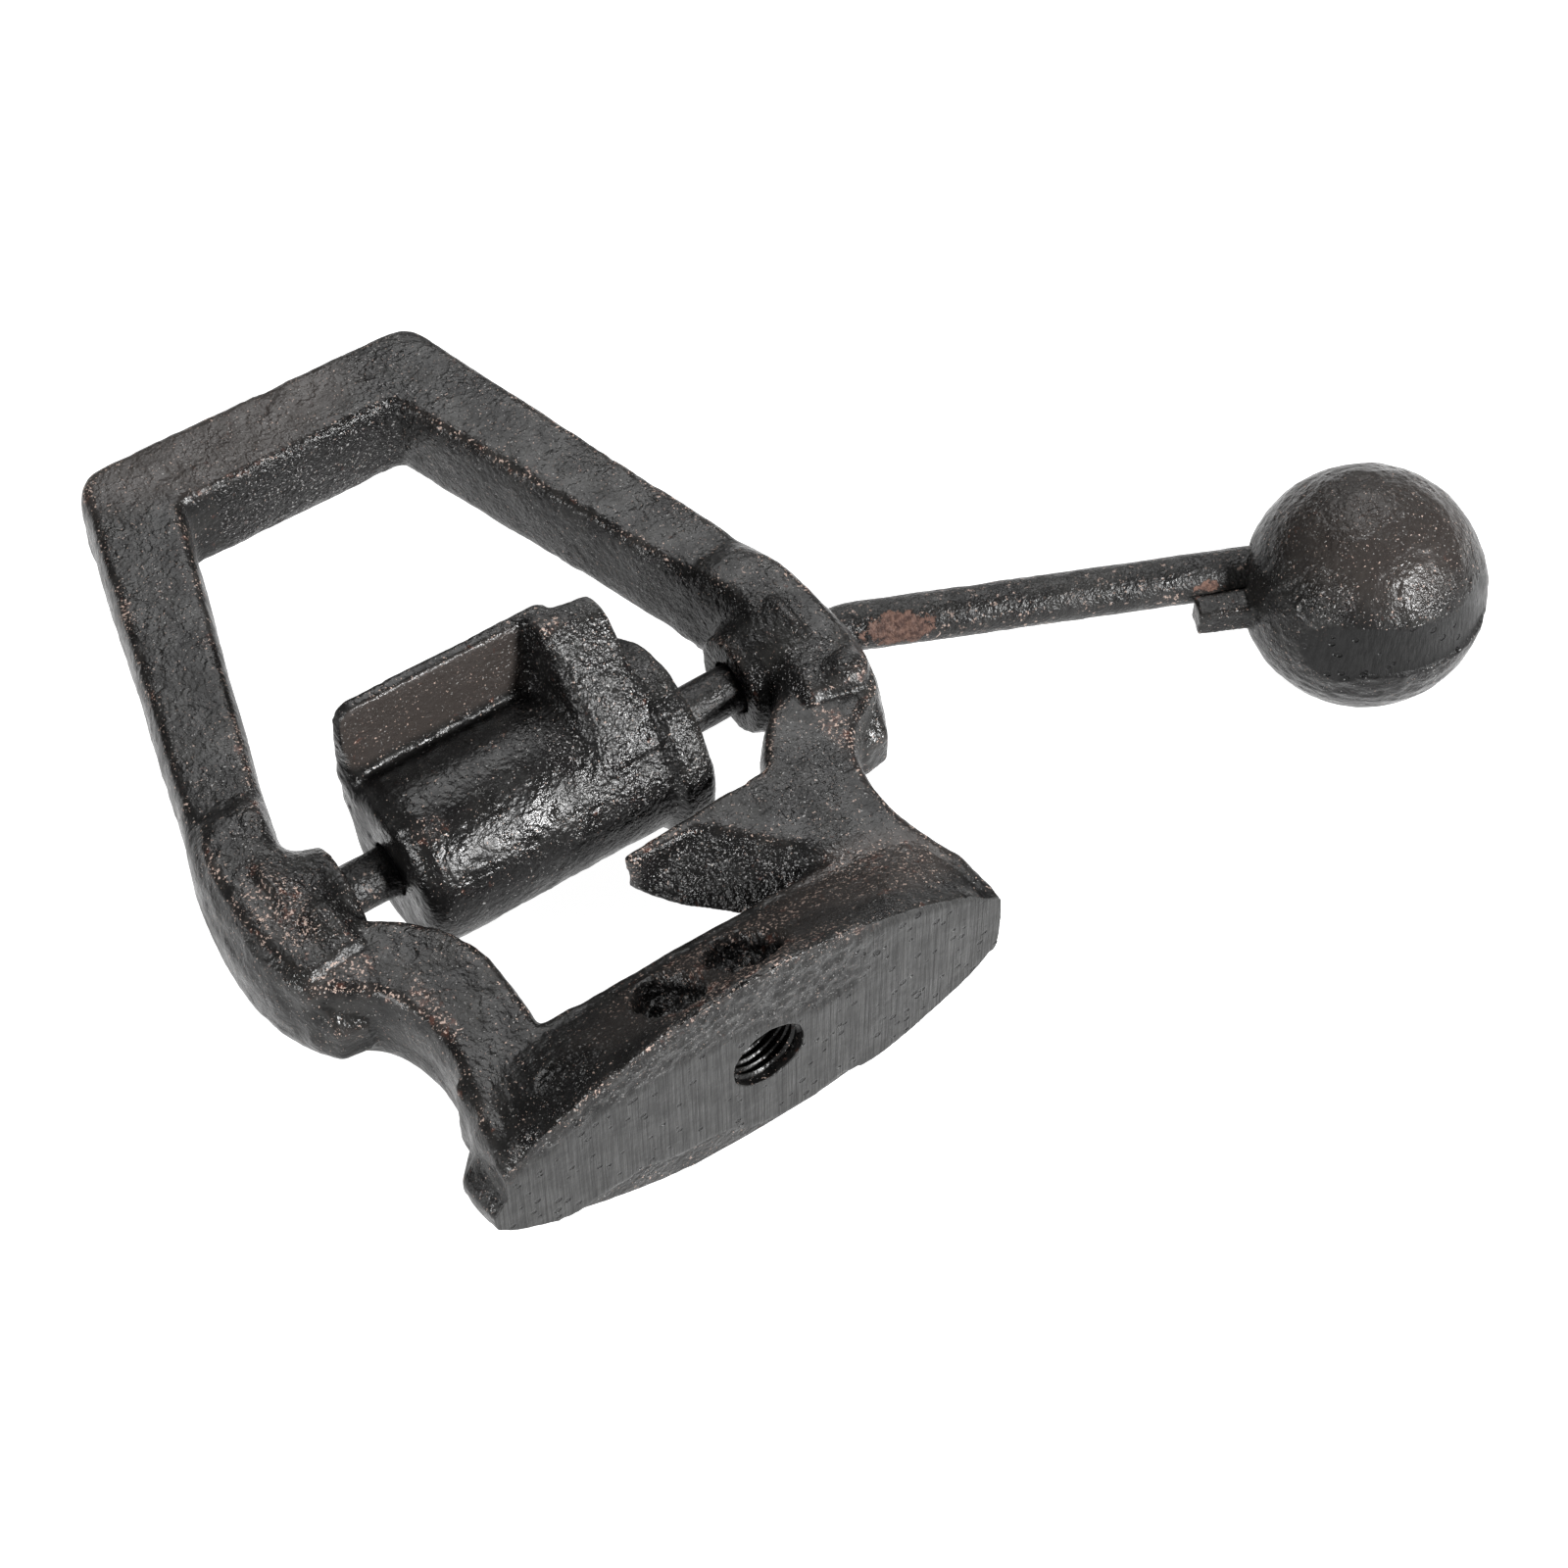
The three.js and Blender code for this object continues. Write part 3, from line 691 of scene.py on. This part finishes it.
def mask_frame(obj, out, co, hollows, face):
    on_face, ground, uneven = face
    n = normals(obj)
    upward = step(n[:, 2], 0.1, 0.5)
    under_tooth = step(-n[:, 1], 0.15, 0.5) * (co[:, 1] > 14) * (np.abs(co[:, 0] - 12) < 26)
    inner_boss = step(-np.sign(co[:, 0]) * n[:, 0], 0.3, 0.7) * (np.abs(co[:, 1] - 62) < 24)

    sand = np.maximum.reduce([
        0.12 + 0.45 * step(smooth_noise(co, 13, 55), -0.1, 0.5),
        under_tooth,
        inner_boss,
        0.9 * step(hollows, 0.2, 1.0),
        0.9 * on_face * uneven,
        patch(co, ROUGH_PLACES),
    ])
    wear = np.maximum(0.8 * wear_mask(co, out, 61), patch(co, WORN_PLACES)) * step(co[:, 2], -2, 4)
    # Painted shade in the hollows, on the bosses' inner faces and under the tooth, and painted sheen on
    # up-facing faces at the places listed above.
    painted_shade = np.maximum.reduce([step(hollows, 0.3, 1.2), 0.7 * inner_boss, 0.8 * under_tooth])
    painted_sheen = patch(co, SHEEN_PLACES) * upward * (1 - painted_shade)
    set_masks(obj, wear, ground, sand, painted_shade, painted_sheen)


def held_inside(co, low, high):
    """Draws in what stands out near the faces of a box, so that no lump leaves it.
    The face at the least Y is the ground one, and stays as it is."""
    margin, share = 0.7, 0.55
    co = co.copy()
    for axis in range(3):
        least, most = ((corner[axis] - ORIGIN[axis]) / MM for corner in (low, high))
        inner = least + margin
        if axis != 1:
            co[:, axis] = np.where(co[:, axis] < inner, inner + share * (co[:, axis] - inner), co[:, axis])
        inner = most - margin
        co[:, axis] = np.where(co[:, axis] > inner, inner + share * (co[:, axis] - inner), co[:, axis])
    return co


def add_thread(obj):
    """Joins a coiled ridge to the wall of the bolt hole."""
    sides = 40
    in_wall = THREAD_MAJOR + 0.5
    # Shares of the pitch, and radii.
    profile = (
        (0.0, in_wall),
        (0.35, THREAD_MAJOR),
        (0.5, THREAD_MINOR),
        (0.65, THREAD_MINOR),
        (0.8, THREAD_MAJOR),
        (1.0, in_wall),
    )
    rows = []
    bm = bmesh.new()
    for k in range(THREAD_TURNS * sides + 1):
        angle = 2 * math.pi * k / sides
        row = []
        for along, radius in profile:
            y = 0.25 + (k / sides + along) * THREAD_PITCH
            row.append(bm.verts.new((HOLE_X + radius * math.cos(angle), y, radius * math.sin(angle))))
        rows.append(row)
    for a, b in zip(rows, rows[1:]):
        for i in range(len(profile) - 1):
            bm.faces.new((a[i], a[i + 1], b[i + 1], b[i]))
        bm.faces.new((a[-1], a[0], b[0], b[-1]))
    bm.faces.new(rows[0])
    bm.faces.new(rows[-1])
    bmesh.ops.recalc_face_normals(bm, faces=bm.faces)
    mesh = bpy.data.meshes.new("thread")
    bm.to_mesh(mesh)
    bm.free()
    thread = new_object("thread", mesh)
    set_masks(thread, *np.zeros((len(CAST_MASKS), len(mesh.vertices))))
    pair = [obj, thread]
    with bpy.context.temp_override(
        active_object=obj, object=obj, selected_objects=pair, selected_editable_objects=pair
    ):
        bpy.ops.object.join()


# ---- Cam ----

BARREL_RADIUS = 14.0
BARREL_LEFT_X = -26.8
VALLEY_Y = SHAFT_Y + 9.6  # where the wing's face meets the barrel
VALLEY_Z = 10.4
CORNER_X = 5.4  # the inside corner at the rib's left side
RIB_TOP_Z = 26.6
BARREL_CORNER = (((-22.0, 53.5, 12.5), (5.0, 4.0, 4.0), 0.6),)  # a worn place, as above


def make_cam():
    obj = cad_copy("cam", "cam_casting")
    remesh(obj, detail(0.4))
    soften_cam(obj)
    out = cast_skin(obj, detail(9), coarse=0.14, medium=0.09, fine=0.06, seed=5)
    co, n = take(obj), normals(obj)
    x, z = co[:, 0], co[:, 2]
    front = step(-n[:, 1], -0.1, 0.5)
    right_part = step(x, -8, 6)

    wear = np.maximum.reduce([
        0.3 * wear_mask(co, out, 63) * step(z, 4, 12),
        0.75 * step(z, RIB_TOP_Z - 1.4, RIB_TOP_Z - 0.4) * step(x, 0, 6),
        patch(co, BARREL_CORNER),
    ])
    sand = 0.05 + 0.7 * front * (0.3 + 0.7 * right_part)
    sand = np.maximum(sand, 0.9 * right_part * (z < RIB_TOP_Z - 1.1))
    sand *= 0.75 + 0.5 * step(smooth_noise(co, 8, 57), -0.3, 0.4)
    # Painted sheen on the wing's face, and painted shade low on the front, on the barrel's top and on its
    # left end.
    wing_face = step(-n[:, 1], 0.4, 0.8) * step(z, 11.5, 13.5) * (1 - step(x, 2.5, 5.0))
    low_front = front * (1 - step(z, 2, 9))
    barrel_top = step(n[:, 2], 0.5, 0.9) * (z < 15) * (z > 8)
    left_end = step(-n[:, 0], 0.4, 0.8)
    painted_shade = np.maximum.reduce([low_front, 0.7 * barrel_top, left_end]) * (1 - wing_face)
    set_masks(obj, wear, np.zeros(len(co)), sand, painted_shade, wing_face)
    return obj


def soften_cam(obj):
    """Fillets the valley between wing and barrel and the corner behind the rib, and rounds off the
    barrel's left end."""
    co = take(obj)
    x, z = co[:, 0], co[:, 2]
    off_valley = np.hypot(co[:, 1] - VALLEY_Y, z - VALLEY_Z)
    off_corner = np.hypot(x - CORNER_X, np.minimum(0, z - 10.0)) + 3 * (z < 8)
    corner = 0.8 * (1 - step(off_corner, 1.0, 4.0)) * (z < 24)
    soft = np.maximum(1 - step(off_valley, 1.5, 6.5), corner) * step(z, 4, 7)
    off_shaft = np.hypot(co[:, 1] - SHAFT_Y, z)
    outside = BARREL_RADIUS + 1
    rim = step(off_shaft, 7.0, 9.0) * (1 - step(off_shaft, outside, outside + 2))
    nose = (1 - step(x - BARREL_LEFT_X, 2.0, 6.0)) * rim
    fillet(obj, detail(90), np.maximum(soft, 0.8 * nose))


# ---- Ball ----

FILED_SIDE = (-0.21, -0.98)  # the way the ball's filed band faces, in X and Y
BALL_ROUGH_PLACES = (
    (BALL_CENTRE + np.array([-14.3, -5.9, 11.9]), (8.0, 7.0, 7.0), 1.0),
    (BALL_CENTRE + np.array([-0.4, -14.9, 12.6]), (7.0, 6.0, 6.0), 1.0),
    (BALL_CENTRE + np.array([-5.0, 0.0, 18.5]), (10.0, 7.0, 5.0), 0.6),
)


def make_ball():
    """A cast ball: a band above its parting line is filed flatter on one side, and the half below the
    line is finely layered."""
    obj = cad_copy("ball", "ball_casting")
    remesh(obj, detail(0.4))
    out = cast_skin(obj, detail(8), coarse=0.16, medium=0.12, fine=0.07, seed=9)
    co = take(obj)
    d = co - BALL_CENTRE
    around = np.hypot(d[:, 0], d[:, 1])
    facing = d[:, :2] @ np.array(FILED_SIDE) / np.maximum(around, 1e-6)
    filed = step(facing, 0.3, 0.75)
    drop = 4.5 * step(-d[:, 0] / BALL_RADIUS, 0.6, 0.95)
    parting = 0.6 + 0.25 * smooth_noise(co, 6, 33) - drop
    filed_radius = BALL_RADIUS - 0.65 - 0.2 * (d[:, 2] - 1.0) + 1.2 * (1 - filed)
    on_ball = np.linalg.norm(d, axis=1) < BALL_RADIUS + 0.9  # and not on the stub
    band = (d[:, 2] > parting) & (around > filed_radius) & (d[:, 2] < 12) & on_ball
    below = (d[:, 2] <= parting) & on_ball
    share = np.where(band, filed_radius / np.maximum(around, 1e-6), 1.0)
    co[:, :2] = BALL_CENTRE[:2] + d[:, :2] * share[:, None]
    layers = 0.10 * smooth_noise(d * np.array([0.35, 0.35, 2.2]), 3.0, 93)
    co = co + np.where(below, layers, 0.0)[:, None] * d / BALL_RADIUS
    put(obj, co)

    sand = np.maximum(patch(co, BALL_ROUGH_PLACES), 0.25 + 0.3 * smooth_noise(co, 8, 59))
    sand = np.where(band, 0.0, sand)
    wear = 0.5 * wear_mask(co, out, 65)
    # Painted sheen on the top, and painted shade on the filed band and the lower half.
    painted_sheen = 0.7 * step(d[:, 2], 9, 16)
    set_masks(obj, wear, band * filed, sand, band | below, painted_sheen)
    return obj


# ---- Rod ----

# Where the paint has flaked off, in lengths along the lever, across it and up: centre and radius.
LARGE_CHIP = ((8.6, -3.3, 1.8), (9.0, 4.2, 4.4))
SMALL_CHIP = ((58.6, -3.5, 1.9), (5.5, 2.4, 2.6))


def make_rod():
    obj = cad_copy("lever_shaft", "lever_rod")
    remesh(obj, detail(0.4))
    co = relaxed(take(obj), edges_of(obj), 5)
    put(obj, co)
    in_bosses = (co[:, 0] < 56) & (co[:, 0] > 34) | (co[:, 0] < -34)
    lumps = 0.09 * layered_noise(co, 7, 2, 3) + 0.05 * layered_noise(co, 2.0, 2, 4)
    co = co + normals(obj) * np.where(in_bosses, -0.03, lumps)[:, None]
    put(obj, co)
    from_bend = co - np.array([BEND_X, SHAFT_Y, 0])
    place = np.stack([from_bend @ LEVER_DIR, from_bend @ LEVER_SIDE, co[:, 2]], 1)
    chip = np.maximum(bump_at(place, *LARGE_CHIP) ** 0.6, 0.75 * bump_at(place, *SMALL_CHIP))
    set_mask(obj, "chip", chip)
    return obj


finish_piece(make_frame(), "frame", "frame", IRON)
finish_piece(make_cam(), "cam", "rotor", IRON)
finish_piece(make_ball(), "ball", "rotor", BALL_IRON)
finish_piece(make_rod(), "lever_shaft", "rotor", ROD)
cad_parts["cam_pin"].data.materials.clear()
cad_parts["cam_pin"].data.materials.append(PIN)


# ---- Floor, light and camera ----

FLOOR_HALF_WIDTH = 3.0
FLOOR_GAP = 0.0002
FLOOR_GLOW = 0.98
SKY_STRENGTH = 0.17
WHITE = (1, 1, 1, 1)

floor_mesh = bpy.data.meshes.new("floor")
bm = bmesh.new()
bmesh.ops.create_grid(bm, x_segments=1, y_segments=1, size=FLOOR_HALF_WIDTH)
bm.to_mesh(floor_mesh)
bm.free()
floor = new_object("floor", floor_mesh)
floor.location.z = bounds_at_load[0][2] - FLOOR_GAP
floor.data.materials.append(plain("floor_white", FLOOR_GREY, 0.9))
floor_shader = floor.data.materials[0].node_tree.nodes["Principled BSDF"]
floor_shader.inputs["Emission Color"].default_value = WHITE
floor_shader.inputs["Emission Strength"].default_value = FLOOR_GLOW

world = bpy.data.worlds.new("studio")
bpy.context.scene.world = world
world.use_nodes = True
sky = world.node_tree.nodes["Background"]
sky.inputs["Color"].default_value = WHITE
sky.inputs["Strength"].default_value = SKY_STRENGTH


def soft_light(name, direction, distance, size, watts):
    """A round lamp that shines on the middle of the tool, from a direction and a distance in metres."""
    data = bpy.data.lights.new(name, "AREA")
    data.shape = "DISK"
    data.size = size
    data.energy = watts
    light = bpy.data.objects.new(name, data)
    bpy.context.scene.collection.objects.link(light)
    target = Vector(ORIGIN) + Vector((0.03, 0.06, 0))
    light.location = target + Vector(direction).normalized() * distance
    light.rotation_euler = (target - light.location).to_track_quat("-Z", "Y").to_euler()


soft_light("key", (0.32, -0.83, 0.45), 0.9, 0.15, 27.0)
soft_light("side", (-0.95, -0.12, 0.28), 0.9, 0.15, 9.0)
soft_light("top", (0.34, 0.50, 0.79), 1.2, 0.9, 14.0)

AZIMUTH = math.radians(-34.35)
ELEVATION = math.radians(52.47)
ROLL = math.radians(-0.27)
LOOK_AT = (30.8, 39.1, 0.0)
DISTANCE = 521.4
SENSOR_WIDTH = 36.0
FOCAL_LENGTH = 78.8
camera_data = bpy.data.cameras.new("camera")
camera_data.sensor_width = SENSOR_WIDTH
camera_data.lens = FOCAL_LENGTH
camera_data.clip_start = 0.01
camera = bpy.data.objects.new("camera", camera_data)
bpy.context.scene.collection.objects.link(camera)
turn = (
    Matrix.Rotation(AZIMUTH, 4, "Z")
    @ Matrix.Rotation(math.pi / 2 - ELEVATION, 4, "X")
    @ Matrix.Rotation(ROLL, 4, "Z")
)
target = Vector(ORIGIN) + Vector(LOOK_AT) * MM
back = turn.to_3x3() @ Vector((0, 0, 1))
camera.matrix_world = Matrix.Translation(target + back * DISTANCE * MM) @ turn
bpy.context.scene.camera = camera
bpy.context.scene.view_settings.view_transform = "Standard"
